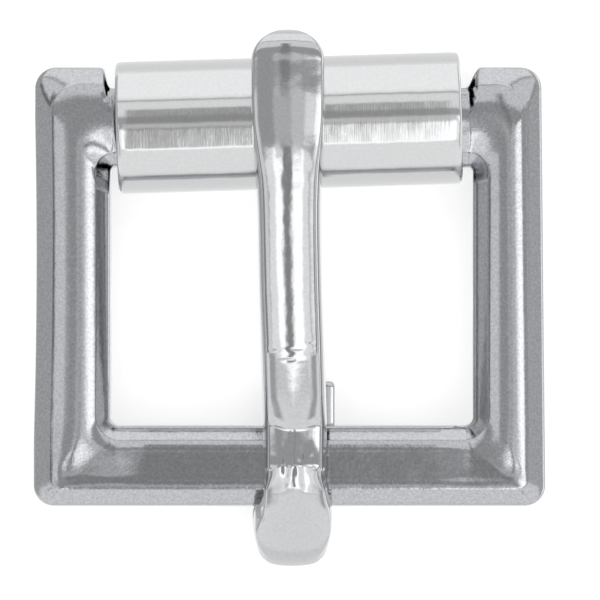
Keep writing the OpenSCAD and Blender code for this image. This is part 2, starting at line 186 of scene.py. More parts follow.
def round_loop(rows, steps):
    """Points of a closed table, with steps points on a smooth curve from each row to the next."""
    rows = np.array(rows, float)
    t = np.linspace(0, 1, steps, endpoint=False)[:, None]
    made = []
    for i in range(len(rows)):
        p0, p1, p2, p3 = (rows[(i + k) % len(rows)] for k in (-1, 0, 1, 2))
        made.append(
            0.5 * (2 * p1 + (p2 - p0) * t + (2 * p0 - 5 * p1 + 4 * p2 - p3) * t**2
                   + (3 * p1 - p0 - 3 * p2 + p3) * t**3)
        )
    return np.concatenate(made)


def skin(name, rings, closed=False):
    """A mesh object through rings of equal length, in millimetres."""
    rings = np.array(rings, float)
    count, n, _ = rings.shape
    a = np.arange(count if closed else count - 1)[:, None] * n + np.arange(n)[None, :]
    b = np.roll(a, -1, axis=1)
    up = (a + n) % (count * n)
    up_b = (b + n) % (count * n)
    faces = np.stack([a, b, up_b, up], axis=-1).reshape(-1, 4).tolist()
    if not closed:
        faces.append(list(range(n))[::-1])
        faces.append(list(range((count - 1) * n, count * n)))
    mesh = bpy.data.meshes.new(name)
    mesh.from_pydata((rings.reshape(-1, 3) * MM).tolist(), [], faces)
    mesh.shade_smooth()
    mesh.update()
    obj = bpy.data.objects.new(name, mesh)
    bpy.context.scene.collection.objects.link(obj)
    return obj


# Frame

# Half of the bar's section, from its outer silhouette to its crowned face
EDGE_ROWS = [
    # inset, up
    (0.00, -0.60),
    (0.00, -0.05),
    (0.02, 0.28),
    (0.10, 0.46),
    (0.30, 0.58),
    (0.60, 0.71),
    (0.90, 0.83),
    (1.00, 0.87),
]
BACK_ROWS = [
    # inset, up
    (0.50, -1.00),
    (0.25, -0.94),
    (0.08, -0.80),
]
CROWN_ROWS = [
    # across, up
    (0.12, 0.945),
    (0.25, 0.978),
    (0.38, 0.994),
    (0.50, 1.000),
    (0.62, 0.994),
    (0.75, 0.978),
    (0.88, 0.945),
]
# The side bars' faces are rounder on their right sides: what is added to the left bar's height
ROUND_ROWS = [
    # across, up
    (0.00, 0.016),
    (0.12, -0.003),
    (0.25, 0.000),
    (0.50, 0.000),
    (0.62, -0.001),
    (0.75, -0.010),
    (0.88, -0.033),
    (1.00, -0.044),
]
# The strap bar's face falls evenly towards the opening: what is added to the height
TILT_ROWS = [
    # across, up
    (0.00, 0.125),
    (0.12, 0.050),
    (0.25, -0.010),
    (0.38, -0.042),
    (0.50, -0.064),
    (0.62, -0.073),
    (0.75, -0.074),
    (0.88, -0.057),
    (1.00, -0.035),
]
FLAT_ROWS = [
    # across, up
    (0.67, -1.00),
    (0.33, -1.00),
]
BAR_ROWS = (
    [(0, inset, up) for inset, up in EDGE_ROWS]
    + [(across, 1, up) for across, up in CROWN_ROWS]
    + [(1, inset, up) for inset, up in reversed(EDGE_ROWS)]
    + [(1, inset, up) for inset, up in reversed(BACK_ROWS)]
    + [(across, BACK_ROWS[0][0], up) for across, up in FLAT_ROWS]
    + [(0, inset, up) for inset, up in BACK_ROWS]
)
SECTION_STEPS = 5
ACROSS, INSET, UP = round_loop(BAR_ROWS, SECTION_STEPS).T
OUTER_INSET = INSET * OUTER_EDGE_RUN
INNER_INSET = INSET * INNER_EDGE_RUN
# Where a section point counts as part of the face, by its height
FACE_FROM = 0.3
FACE_FULL = 0.5
FACE = smooth_step(FACE_FROM, FACE_FULL, UP)
TILT = np.array([curve(TILT_ROWS, 1, a) for a in ACROSS]) * FACE
LEFT_ROUND = np.array([curve(ROUND_ROWS, 1, a) for a in ACROSS]) * FACE
RIGHT_ROUND = np.array([curve(ROUND_ROWS, 1, 1 - a) for a in ACROSS]) * FACE
# The left bar's bow: its middle and half its length
BOW_Y = 1.5
BOW_HALF = 11.0
# How far a side bar's lean goes from its middle, outwards and inwards
LEAN_OUT = 1.4
LEAN_IN = 2.8
# It ends this far inside the opening, starts this far in from the frame's low edge and is full
# this far past the strap bar
LEAN_END = 2.5
LEAN_LOW = 1.0
LEAN_HIGH = 0.8
CORNER_STEPS = 26
BAR_STEP = 0.4
# Direction of each corner and its first angle, counter-clockwise from the front right one
CORNERS = [(1, 1, 0), (-1, 1, 90), (-1, -1, 180), (1, -1, 270)]


def corner_points(corner, direction, radius, angle):
    """Points of a rounded corner at an angle, for arrays of corners and radii."""
    return (
        corner[0] + radius * (math.cos(angle) - direction[0]),
        corner[1] + radius * (math.sin(angle) - direction[1]),
    )


def corner_ring(k, share):
    """The frame's section at a share of the turn round one of its four corners."""
    sx, sy, first = CORNERS[k]
    angle = math.radians(first + 90 * share)
    taper = 0 if sy < 0 else (LEFT_TAPER if sx < 0 else RIGHT_TAPER)
    outer = (
        sx * (FRAME_W / 2 - taper - OUTER_INSET),
        FRAME_HIGH - OUTER_INSET if sy > 0 else FRAME_LOW + OUTER_INSET,
    )
    inner = (
        OPENING_RIGHT + INNER_INSET if sx > 0 else OPENING_LEFT - INNER_INSET,
        OPENING_HIGH + INNER_INSET if sy > 0 else OPENING_LOW - INNER_INSET,
    )
    outer_r = mix(OUTER_CORNER_R, TOP_CORNER_R if sy > 0 else LOW_CORNER_R, INSET)
    outer_xy = corner_points(outer, (sx, sy), outer_r, angle)
    inner_r = AXLE_CORNER_R if sy > 0 else INNER_CORNER_R
    inner_xy = corner_points(inner, (sx, sy), inner_r + INNER_INSET, angle)
    along_strap = 0 if sy > 0 else (share if sx < 0 else 1 - share)
    return np.stack([
        mix(outer_xy[0], inner_xy[0], ACROSS),
        mix(outer_xy[1], inner_xy[1], ACROSS),
        HINGE_Z + (UP + TILT * smooth_step(0, 1, along_strap)) * BAR_T / 2,
    ], axis=-1)


def section_angle(half):
    """Angle of each section point about the middle of a bar of that half width."""
    a = mix(half - OUTER_INSET, INNER_INSET - half, ACROSS) / half
    return np.arctan2(UP, a)


def axle_ring(outer_x, inner_x):
    """The bar's own section above its middle, and a half ellipse below, clear of the roller."""
    half = AXLE_BAR_W / 2
    a = section_angle(half)
    low = UP < 0
    edge = mix(half - OUTER_INSET * AXLE_EDGE, INNER_INSET - half, ACROSS)
    y = np.where(low, half * np.cos(a), edge)
    z = np.where(low, np.sin(a), UP)
    return np.stack([
        mix(outer_x, inner_x, ACROSS),
        AXLE_Y + y,
        HINGE_Z + BAR_T / 2 * z,
    ], axis=-1)


def shoulder_ring(outer_x, inner_x):
    """The section of the bar across a shoulder, before it steps down."""
    return np.stack([
        mix(outer_x, inner_x, ACROSS),
        mix(FRAME_HIGH - OUTER_INSET, OPENING_HIGH + INNER_INSET, ACROSS),
        HINGE_Z + UP * BAR_T / 2,
    ], axis=-1)


def strap_ring(x, keep):
    """The strap bar's section at x, shrunk about its middle to keep its share."""
    y = mix(FRAME_LOW + OUTER_INSET, OPENING_LOW - INNER_INSET, ACROSS)
    return np.stack([
        np.full_like(y, x),
        STRAP_BAR_Y + (y - STRAP_BAR_Y) * keep,
        HINGE_Z + (UP + TILT) * BAR_T / 2 * keep,
    ], axis=-1)


def journal_ring(x):
    """The round journal's section at x."""
    a = section_angle(STRAP_BAR_W / 2)
    return np.stack([
        np.full_like(a, x),
        HINGE_Y - JOURNAL_R * np.cos(a),
        HINGE_Z + JOURNAL_R * np.sin(a),
    ], axis=-1)


def between(first, last):
    """Rings that fill a straight stretch between two rings, without its ends."""
    length = np.abs(last - first).max()
    count = max(int(length / BAR_STEP), 1)
    return [mix(first, last, i / count) for i in range(1, count)]


def joined(*parts):
    """Lists of rings in a row, with their straight stretches filled."""
    rings = list(parts[0])
    for part in parts[1:]:
        rings += between(rings[-1], part[0])
        rings += part
    return rings


def corner_rings(k):
    return [corner_ring(k, i / CORNER_STEPS) for i in range(CORNER_STEPS + 1)]


# The rounded step of each corner, down to the axle bar
STEP_ROWS = [
    # run, left, right
    (0.00, 0.000, 0.000),
    (0.20, 0.010, 0.045),
    (0.35, 0.050, 0.190),
    (0.45, 0.160, 0.320),
    (0.55, 0.380, 0.490),
    (0.65, 0.640, 0.680),
    (0.75, 0.850, 0.860),
    (0.87, 0.960, 0.966),
    (1.00, 1.000, 1.000),
]
STEP_RINGS = 24
# The casting is rough there: height and size of the lumps, how far from the opening they start,
# how far from the front edge they are full, and the lowest part of the section that has them
ROUGH_STEP = 0.05
ROUGH_SIZE = 0.42
ROUGH_FROM = 3.2
ROUGH_FULL = 1.2
ROUGH_UP = 0.3
# Rounded edge of the notch
NOTCH_EDGE = [
    # distance from the notch, share of the section kept
    (0.15, 1.0),
    (0.08, 0.995),
    (0.03, 0.985),
    (0.0, 0.965),
]


def step_rings(outer_x, inner_x, run, inward):
    """Rings over a shoulder's step, from the bar's section to the axle's."""
    rings = []
    for i in range(STEP_RINGS + 1):
        share = np.clip(curve(STEP_ROWS, 1 if inward > 0 else 2, i / STEP_RINGS), 0, 1)
        x = outer_x + inward * run * i / STEP_RINGS
        inner = inner_x + inward * INNER_RUN * i / STEP_RINGS
        ring = mix(shoulder_ring(x, inner), axle_ring(x, inner), share)
        amount = ROUGH_STEP * math.sin(math.pi * i / STEP_RINGS)
        rough = smooth_step(OPENING_HIGH + ROUGH_FROM, FRAME_HIGH - ROUGH_FULL, ring[:, 1])
        rough *= UP > ROUGH_UP
        for k in np.flatnonzero(rough):
            place = Vector(ring[k]) / ROUGH_SIZE
            ring[k, 2] += amount * rough[k] * noise.noise(place)
        rings.append(ring)
    return rings


def frame_rings():
    """All rings of the frame, once round from the front right corner."""
    right_step = OPENING_RIGHT + RIGHT_SHOULDER_BACK
    left_step = OPENING_LEFT - LEFT_SHOULDER_BACK
    right_inner = OPENING_RIGHT - AXLE_CORNER_R
    left_inner = OPENING_LEFT + AXLE_CORNER_R
    notch_left = HINGE_X - NOTCH_W / 2
    notch_right = HINGE_X + NOTCH_W / 2
    right_slope = step_rings(right_step, right_inner, SHOULDER_RUN, -1)
    left_slope = step_rings(left_step, left_inner, LEFT_SHOULDER_RUN, 1)
    left_end = [strap_ring(notch_left - away, keep) for away, keep in NOTCH_EDGE]
    right_end = [strap_ring(notch_right + away, keep) for away, keep in NOTCH_EDGE]
    rings = joined(
        corner_rings(0),
        right_slope,
        left_slope[::-1],
        corner_rings(1),
        corner_rings(2),
        left_end,
    )
    rings += joined([journal_ring(notch_left)], [journal_ring(notch_right)])
    rings += joined(right_end[::-1], corner_rings(3))
    rings += between(rings[-1], rings[0])
    return [bowed(leaned(ring)) for ring in rings]


def leaned(ring):
    """The faces of both side bars, turned a little to the left and rounder on their right."""
    x, y = ring[:, 0], ring[:, 1]
    left = x < 0
    middle = np.where(left, (OPENING_LEFT - FRAME_W / 2) / 2, (OPENING_RIGHT + FRAME_W / 2) / 2)
    inside = np.where(left, x - OPENING_LEFT, OPENING_RIGHT - x)
    share = 1 - smooth_step(0, LEAN_END, inside)
    share *= smooth_step(FRAME_LOW + LEAN_LOW, OPENING_LOW + LEAN_HIGH, y)
    low = np.where(left, -LEAN_OUT, -LEAN_IN)
    high = np.where(left, LEAN_IN, LEAN_OUT)
    lean = FACE_LEAN * np.clip(x - middle, low, high)
    rounded = np.where(left, LEFT_ROUND, RIGHT_ROUND) * BAR_T / 2
    ring[:, 2] += (lean * FACE + rounded) * share
    return ring


def bowed(ring):
    """The left bar's outer side, bowed in a little between its ends."""
    middle = 1 - ((ring[:, 1] - BOW_Y) / BOW_HALF)**2
    outer = smooth_step(OPENING_LEFT, -FRAME_W / 2, ring[:, 0])
    ring[:, 0] += LEFT_BOW * np.maximum(middle, 0) * outer
    return ring


# Roller

ROLLER_RINGS = 240
ROLLER_COLUMNS = 80
ROLLER_EDGE_STEPS = 8
BORE_EDGE_STEPS = 4


def arc(middle_x, middle_r, radius, first, last, steps):
    """Points of a rounded edge in x and r, between two angles in degrees."""
    angles = np.radians(np.linspace(first, last, steps + 1))
    return [(middle_x + radius * math.cos(a), middle_r + radius * math.sin(a)) for a in angles]


def roller_section():
    """The sheet's section in x and r, once round, with its ends curled in a little."""
    half = ROLLER_LEN / 2
    outer_end = half - ROLLER_EDGE_R
    inner_end = half - BORE_EDGE_R
    along = np.linspace(-1, 1, ROLLER_COLUMNS + 1)
    edge = arc(outer_end, ROLLER_R - ROLLER_EDGE_R, ROLLER_EDGE_R, 90, 0, ROLLER_EDGE_STEPS)[1:]
    edge += arc(inner_end, BORE_R + BORE_EDGE_R, BORE_EDGE_R, 0, -90, BORE_EDGE_STEPS)
    made = np.array(
        [(x * outer_end, ROLLER_R) for x in along]
        + edge
        + [(-x * inner_end, BORE_R) for x in along[1:-1]]
        + [(-x, r) for x, r in reversed(edge)]
    )
    curl = np.maximum(np.abs(made[:, 0]) - half + ROLLER_CURL_RUN, 0)
    share = np.where(made[:, 1] > (ROLLER_R + BORE_R) / 2, 1.0, 0.0)
    made[:, 1] -= share * ROLLER_CURL * (curl / ROLLER_CURL_RUN)**2
    return made


def roller_rings():
    """The sheet's section, turned round the roller's axis from one side of its seam to the other."""
    section = roller_section()
    axis = ROLLER_AXIS / np.linalg.norm(ROLLER_AXIS)
    up = np.array([0.0, 0.0, 1.0])
    side = np.cross(up, axis)
    half_gap = math.asin(SEAM_GAP / 2 / ROLLER_R)
    rings = []
    for turn in np.linspace(half_gap, 2 * math.pi - half_gap, ROLLER_RINGS + 1):
        a = SEAM_ANGLE + turn
        out = side * math.sin(a) - up * math.cos(a)
        rings.append(ROLLER_MIDDLE + section[:, :1] * axis + section[:, 1:] * out)
    return rings


# Tongue

# Half of the tongue's section, from the middle of its outer face to its inner face
TONGUE_ROWS = [
    # across, out, across at the heel, across at the tip
    (0.00, 1.000, 0.00, 0.00),
    (0.30, 0.994, 0.26, 0.30),
    (0.55, 0.975, 0.45, 0.57),
    (0.74, 0.940, 0.60, 0.86),
    (0.84, 0.890, 0.70, 0.95),
    (0.92, 0.770, 0.84, 0.98),
    (0.97, 0.560, 0.94, 0.995),
    (1.00, 0.300, 1.00, 1.00),
    (0.99, 0.120, 0.99, 0.99),
    (0.90, 0.000, 0.90, 0.90),
    (0.45, 0.000, 0.45, 0.45),
]
TONGUE_LOOP = TONGUE_ROWS + [
    (-across, out, -heel, -tip) for across, out, heel, tip in TONGUE_ROWS[:0:-1]
]
T_ACROSS, T_OUT, T_HEEL, T_TIP = round_loop(TONGUE_LOOP, SECTION_STEPS).T

# The shank, in shares as in the part's source, with a sharper end of the valley at way 0.1
SHANK_ROWS = [
    # way, top, under, wide, right
    (0.0000, -0.006, -0.12, 0.00, 0.66),
    (0.0140, 0.000, -0.09, 0.00, 0.66),
    (0.0400, -0.020, -0.05, 0.00, 0.66),
    (0.0610, -0.034, -0.03, 0.00, 0.67),
    (0.0940, -0.050, 0.04, 0.00, 0.68),
    (0.0985, -0.050, 0.06, 0.00, 0.68),
    (0.1000, -0.044, 0.07, 0.00, 0.68),
    (0.1270, 0.072, 0.14, 0.00, 0.65),
    (0.2750, 0.560, 0.52, 0.00, 0.44),
    (0.2970, 0.603, 0.58, 0.00, 0.40),
    (0.4580, 0.735, 0.74, 0.00, 0.13),
    (0.6310, 0.875, 0.92, 0.00, -0.02),
    (0.7130, 0.935, 0.98, 0.26, -0.07),
    (0.7940, 0.985, 1.00, 0.62, -0.13),
    (0.9060, 1.000, 1.00, 1.00, -0.18),
    (1.0000, 0.985, 1.00, 0.98, -0.18),
]
# The loop, round its heel to the tail
LOOP_ROWS = [
    # turn, out, wide, right
    (0.000, 0.992, 0.78, 0.66),
    (0.050, 0.973, 0.78, 0.67),
    (0.100, 0.943, 0.79, 0.70),
    (0.140, 0.912, 0.81, 0.76),
    (0.190, 0.878, 0.86, 0.84),
    (0.220, 0.862, 0.885, 0.82),
    (0.250, 0.854, 0.925, 0.68),
    (0.280, 0.852, 0.955, 0.52),
    (0.340, 0.875, 0.975, 0.42),
    (0.400, 0.928, 0.985, 0.38),
    (0.450, 0.968, 0.985, 0.36),
    (0.500, 1.000, 0.980, 0.36),
    (0.720, 1.000, 0.980, 0.38),
    (0.860, 1.000, 0.80, 0.70),
    (1.000, 1.000, 0.64, 1.00),
]
SHANK_RINGS = 280
LOOP_RINGS = 200
TIP_RINGS = 60
TAIL_RINGS = 26
TIP_START = TONGUE_REACH - TIP_ROUND
# Ways and turns between which one section goes over into the next
LOOP_SECTION = (0.02, 0.10)
TIP_SECTION = (0.68, 0.86)
HEEL_SECTION = (0.30, 0.46)
TAIL_SECTION = (0.60, 0.85)
TAIL_WIDENS = (0.1, 0.5)
TAIL_END_W = 0.88
# The tip closes on a line at this share of its thickness, over this turn in degrees, and keeps
# its width and thickness by these powers
TIP_CLOSE = 0.42
TIP_TURN = 88
TIP_W_POWER = 0.485
TIP_T_POWER = 0.5
TAIL_END_STEPS = 8
# The band widens over this distance past the strap bar's edges
BAND_FADE = 0.12
# The wedge and the lumps start at this share of the section's height
ROUGH_FACE = 0.8
# How far the valley reaches further up at the sides than in the middle, and the ways between
# which that starts, is full and ends
VALLEY_BOW = 0.7
VALLEY_WAYS = (0.03, 0.10, 0.19)
# A low wedge that the casting has in the loop's valley: its narrow end, its wide end and sizes
WEDGE_TOP = (0.42, -8.7)
WEDGE_END = (0.33, -13.5)
WEDGE_HALF_W = 0.62
WEDGE_EDGE = 0.3
WEDGE_H = 0.05
WEDGE_FULL = 0.12
WEDGE_FADE = 0.75
# Rough places along the tongue's face
PEBBLES = [
    # y, reach, height, size across, size along
    (-3.5, 1.0, 0.022, 0.9, 0.28),
    (-11.3, 2.6, 0.03, 0.5, 0.9),
    (9.0, 4.0, 0.006, 0.5, 1.0),
]


def tongue_ring(start, out, inner, outer, half_w, x, across):
    """A ring of the tongue, narrowed to its band where the strap bar's edges turn past it."""
    r = mix(inner, outer, T_OUT)
    y = start[0] + out[0] * r
    z = start[1] + out[1] * r
    far = np.hypot(y - HINGE_Y, z - HINGE_Z)
    free = smooth_step(BAR_SWEEP_R, BAR_SWEEP_R + BAND_FADE, far)
    xs = x + half_w * across
    banded = np.clip(xs, HINGE_X - BAND_W / 2, HINGE_X + BAND_W / 2)
    ring = np.stack([mix(banded, xs, free), y, z], axis=-1)
    raised = (pebbles(ring) + wedge(ring)) * smooth_step(ROUGH_FACE, 1, T_OUT)
    return ring + np.array([0.0, *out]) * raised[:, None]


def wedge(ring):
    """Height of the wedge at each point of a ring."""
    along = np.clip((WEDGE_TOP[1] - ring[:, 1]) / (WEDGE_TOP[1] - WEDGE_END[1]), 0, 1)
    off = np.abs(ring[:, 0] - mix(WEDGE_TOP[0], WEDGE_END[0], along)) - WEDGE_HALF_W * along
    fade = smooth_step(0, WEDGE_FULL, along) * (1 - smooth_step(WEDGE_FADE, 1, along))
    return WEDGE_H * fade * (1 - smooth_step(-WEDGE_EDGE / 2, WEDGE_EDGE / 2, off))


def pebbles(ring):
    """Height of the casting's small lumps at each point of a ring."""
    height = np.zeros(len(ring))
    for y, reach, tall, wide, long in PEBBLES:
        amount = tall * np.maximum(0, 1 - ((ring[:, 1] - y) / reach)**2)**2
        for i in np.flatnonzero(amount > 0):
            place = Vector((ring[i, 0] / wide, ring[i, 1] / long, ring[i, 2] / long))
            height[i] += amount[i] * noise.noise(place)
    return height


def shank_ring(way, shrink=1.0, low=1.0, along=0.0):
    """The tongue's section at a share of the way from the hinge to the tip, or along past it."""
    top = mix(LOOP_TOP, TIP_TOP, curve(SHANK_ROWS, 1, way))
    under = mix(HINGE_Z + EYE_R, REST_Z, curve(SHANK_ROWS, 2, way))
    from_hinge = way * TIP_START + along
    if from_hinge < EYE_R:
        under = max(under, HINGE_Z + math.sqrt(EYE_R**2 - from_hinge**2))
    half_w = mix(TONGUE_W, TIP_W, curve(SHANK_ROWS, 3, way)) / 2
    x = HINGE_X * curve(SHANK_ROWS, 4, way)
    close = mix(under, top, TIP_CLOSE)
    ring = tongue_ring(
        (HINGE_Y + from_hinge, 0), (0, 1),
        mix(close, under, low), mix(close, top, low), half_w * shrink, x,
        mix(T_ACROSS, T_TIP, smooth_step(*TIP_SECTION, way)),
    )
    first, full, last = VALLEY_WAYS
    bow = VALLEY_BOW * smooth_step(first, full, way) * (1 - smooth_step(full, last, way))
    ring[:, 1] += bow * ((ring[:, 0] - x) / half_w)**2 * T_OUT
    return ring


def loop_ring(share):
    """The tongue's section at a share of the half turn round the hinge, from shank to tail."""
    turn = math.pi * share
    s, c = math.sin(turn), math.cos(turn)
    up = LOOP_TOP - HINGE_Z if share < 0.5 else HINGE_Z
    outer = ((abs(s) / LOOP_REACH)**LOOP_SQUARE + (abs(c) / up)**LOOP_SQUARE)**(-1 / LOOP_SQUARE)
    outer *= curve(LOOP_ROWS, 1, share)
    # The eye is lengthened towards the heel by its play
    if s * EYE_R <= EYE_PLAY * abs(c):
        inner = EYE_R / abs(c)
    else:
        inner = EYE_PLAY * s + math.sqrt(EYE_R**2 - (EYE_PLAY * c)**2)
    heel = smooth_step(*HEEL_SECTION, share) * (1 - smooth_step(*TAIL_SECTION, share))
    return tongue_ring(
        (HINGE_Y, HINGE_Z), (-s, c), inner, outer,
        HEEL_W / 2 * curve(LOOP_ROWS, 2, share), HINGE_X * curve(LOOP_ROWS, 3, share),
        mix(mix(T_ACROSS, T_TIP, smooth_step(*LOOP_SECTION, share)), T_HEEL, heel),
    )


def tail_ring(along, shrink=1.0):
    """The tail's section at a distance from the hinge, shrunk at its rounded end."""
    t = smooth_step(*TAIL_WIDENS, along / TAIL_LEN)
    tail_x = HINGE_X + (TAIL_W - TONGUE_W) / 2
    return tongue_ring(
        (HINGE_Y + along, HINGE_Z), (0, -1),
        mix(EYE_R + TAIL_ROUND / 2, EYE_R, shrink),
        mix(HINGE_Z - TAIL_ROUND / 2, HINGE_Z, shrink),
        mix(BAND_W, TAIL_W, t) / 2 * mix(TAIL_END_W, 1, shrink), mix(HINGE_X, tail_x, t), T_TIP,
    )


def tongue_rings():
    """All rings of the tongue, from the tip round the loop to the tail's end."""
    rings = []
    for i in range(TIP_RINGS, 0, -1):
        out = math.sin(math.radians(TIP_TURN) * i / TIP_RINGS)
        wide = (1 - out**2)**TIP_W_POWER
        thick = (1 - out**4)**TIP_T_POWER
        rings.append(shank_ring(1, wide, thick, TIP_ROUND * out))
    rings += [shank_ring(i / SHANK_RINGS) for i in range(SHANK_RINGS, 0, -1)]
    rings += [loop_ring(i / LOOP_RINGS) for i in range(LOOP_RINGS + 1)]
    straight = TAIL_LEN - TAIL_ROUND
    rings += [tail_ring(straight * i / TAIL_RINGS) for i in range(1, TAIL_RINGS + 1)]
    for a in np.radians(np.linspace(0, 90, TAIL_END_STEPS + 1)[1:]):
        rings.append(tail_ring(straight + TAIL_ROUND * math.sin(a), math.cos(a)))
    return rings


# Materials

# Sizes of the finish: cast grain, mottling, slow waves with their height, and the roller's
# brush lines with how much they are narrowed to be long
GRAIN_SIZE = 0.19
MOTTLE_SIZE = 0.75
WAVE_SIZE = 2.6
WAVE_H = 0.02
BRUSH_SIZE = 0.11
BRUSH_STRETCH = 0.05
# Where the grain's noise gives the darkest and the lightest colour
TINT_STOPS = (0.32, 0.68)


def node(tree, kind, **values):
    """A new node with its settings or the values of its inputs."""
    made = tree.nodes.new(kind)
    for key, value in values.items():
        if hasattr(made, key):
            setattr(made, key, value)
        else:
            made.inputs[key.replace("_", " ")].default_value = value
    return made


def noise_node(tree, place, size, detail, roughness):
    """Noise with lumps of a size in millimetres."""
    made = node(
        tree, "ShaderNodeTexNoise", Scale=1 / (size * MM), Detail=detail, Roughness=roughness
    )
    tree.links.new(place, made.inputs["Vector"])
    return made.outputs["Fac"]


def bump_node(tree, height, distance, before=None):
    """Bumps of a height in millimetres, on top of the bumps before."""
    made = node(tree, "ShaderNodeBump", Strength=1.0, Distance=distance * MM)
    tree.links.new(height, made.inputs["Height"])
    if before:
        tree.links.new(before, made.inputs["Normal"])
    return made.outputs["Normal"]


def steel(name, colour, roughness, grain, mottle, speckle, brush=0.0):
    """Polished steel: a fine cast grain, slow waves, speckled colour and, on sheet, brush lines."""
    material = bpy.data.materials.new(name)
    material.use_nodes = True
    tree = material.node_tree
    shader = tree.nodes["Principled BSDF"]
    shader.inputs["Metallic"].default_value = 1.0
    shader.inputs["Roughness"].default_value = roughness
    place = node(tree, "ShaderNodeTexCoord").outputs["Object"]
    fine = noise_node(tree, place, GRAIN_SIZE, 3.0, 0.7)
    patch = noise_node(tree, place, MOTTLE_SIZE, 3.0, 0.55)
    slow = noise_node(tree, place, WAVE_SIZE, 2.0, 0.5)
    normal = bump_node(tree, slow, WAVE_H)
    normal = bump_node(tree, patch, mottle, normal)
    normal = bump_node(tree, fine, grain, normal)
    if brush:
        stretch = node(tree, "ShaderNodeMapping")
        stretch.inputs["Scale"].default_value = (1, BRUSH_STRETCH, BRUSH_STRETCH)
        tree.links.new(place, stretch.inputs["Vector"])
        lines = noise_node(tree, stretch.outputs["Vector"], BRUSH_SIZE, 3.0, 0.7)
        normal = bump_node(tree, lines, brush, normal)
    tree.links.new(normal, shader.inputs["Normal"])
    tint = node(tree, "ShaderNodeValToRGB")
    dark = [c * (1 - speckle) for c in colour]
    light = [min(c * (1 + speckle * 0.5), 1) for c in colour]
    for element, at, shade in zip(tint.color_ramp.elements, TINT_STOPS, (dark, light)):
        element.position = at
        element.color = (*shade, 1)
    tree.links.new(fine, tint.inputs["Fac"])
    tree.links.new(tint.outputs["Color"], shader.inputs["Base Color"])
    return material


# Studio

PHOTO_SIDE = 600
MM_PER_PIXEL = 0.0692
# Photo pixel of the frame's middle, across
FRAME_MIDDLE_PX = 289.45
# The camera's height over the frame's middle and the range that it sees
CAMERA_HEIGHT = 400.0
CLIP_NEAR = 10.0
CLIP_FAR = 10000.0
SENSOR = 36.0
# Half the side of the floor's paper, its grey and its own light
FLOOR_HALF = 1500.0
FLOOR_GREY = 0.93
FLOOR_LIGHT = 0.48


def make_camera():
    """A camera that looks straight down at the photo's scale."""
    data = bpy.data.cameras.new("camera")
    data.sensor_width = SENSOR
    data.lens = SENSOR * CAMERA_HEIGHT / (PHOTO_SIDE * MM_PER_PIXEL)
    data.clip_start = CLIP_NEAR * MM
    data.clip_end = CLIP_FAR * MM
    camera = bpy.data.objects.new("camera", data)
    x = (PHOTO_SIDE / 2 - FRAME_MIDDLE_PX) * MM_PER_PIXEL
    camera.location = (x * MM, 0, (HINGE_Z + CAMERA_HEIGHT) * MM)
    bpy.context.scene.collection.objects.link(camera)
    bpy.context.scene.camera = camera


def make_floor():
    """Matt white paper with some light of its own, so that the shadows stay pale."""
    mesh = bpy.data.meshes.new("floor")
    half = FLOOR_HALF * MM
    corners = [(-half, -half, 0), (half, -half, 0), (half, half, 0), (-half, half, 0)]
    mesh.from_pydata(corners, [], [(0, 1, 2, 3)])
    floor = bpy.data.objects.new("floor", mesh)
    bpy.context.scene.collection.objects.link(floor)
    material = bpy.data.materials.new("paper")
    material.use_nodes = True
    shader = material.node_tree.nodes["Principled BSDF"]
    shader.inputs["Base Color"].default_value = (FLOOR_GREY, FLOOR_GREY, FLOOR_GREY, 1)
    shader.inputs["Roughness"].default_value = 0.9
    shader.inputs["Specular IOR Level"].default_value = 0.0
    shader.inputs["Emission Color"].default_value = (1, 1, 1, 1)
    shader.inputs["Emission Strength"].default_value = FLOOR_LIGHT
    mesh.materials.append(material)
    # The metal reflects the studio's own surroundings below the horizon
    floor.visible_glossy = False


def level(grey):
    """Linear light for an 8-bit grey of the picture."""
    c = grey / 255
    return c / 12.92 if c <= 0.04045 else ((c + 0.055) / 1.055)**2.4


def feed(tree, value, socket):
    """A number or another node's output, put into a socket."""
    if isinstance(value, (int, float)):
        socket.default_value = value
    else:
        tree.links.new(value, socket)


def maths(tree, operation, *values):
    """The result of a sum of numbers and other nodes' outputs."""
    made = tree.nodes.new("ShaderNodeMath")
    made.operation = operation
    for value, socket in zip(values, made.inputs):
        feed(tree, value, socket)
    return made.outputs[0]


# The studio round the buckle, by the slope of a surface that mirrors it straight up.
# A slope of 1 mirrors the horizon, and FAR means no edge. Each card covers the ones before it.
FAR = 1000.0
SURROUNDINGS = [
    # slope x from, to, slope y from, to, softness, grey
    # Below the horizon, past the heel end and past the roller end
    (-FAR, FAR, -FAR, -1.0, 0.15, 204),
    (-FAR, FAR, 1.5, FAR, 0.3, 202),
    # Low sides
    (-1.7, -0.48, -0.55, 1.3, 0.10, 166),
    (0.50, 1.1, -0.55, 1.3, 0.10, 172),
    (1.1, 1.9, -0.55, 1.3, 0.10, 250),
    # Light past the roller end
    (-0.48, 0.48, 0.45, 1.4, 0.08, 228),
    # Light past the heel end
    (-0.15, 0.15, -0.95, -0.34, 0.10, 214),
    (-0.75, -0.46, -0.55, -0.1, 0.05, 212),
    (0.46, 0.75, -0.55, -0.1, 0.05, 216),
    # Overhead
    (-0.23, 0.23, -0.36, 0.23, 0.07, 150),
    (-0.44, -0.23, -0.25, 0.06, 0.05, 208),
    (0.20, 0.44, -0.06, 0.06, 0.05, 285),
    (-0.47, 0.47, 0.14, 0.45, 0.03, 208),
    (-0.47, 0.47, 0.035, 0.14, 0.02, 150),
    # Thin dark frames of the side lights
    (-0.59, -0.48, -0.25, 0.3, 0.03, 112),
    (0.48, 0.59, -0.06, 0.3, 0.03, 155),
    # The far left and right, below the horizon
    (-5.0, -1.6, -0.9, 1.3, 0.2, 185),
    (1.9, 5.0, -0.9, 1.3, 0.2, 190),
]
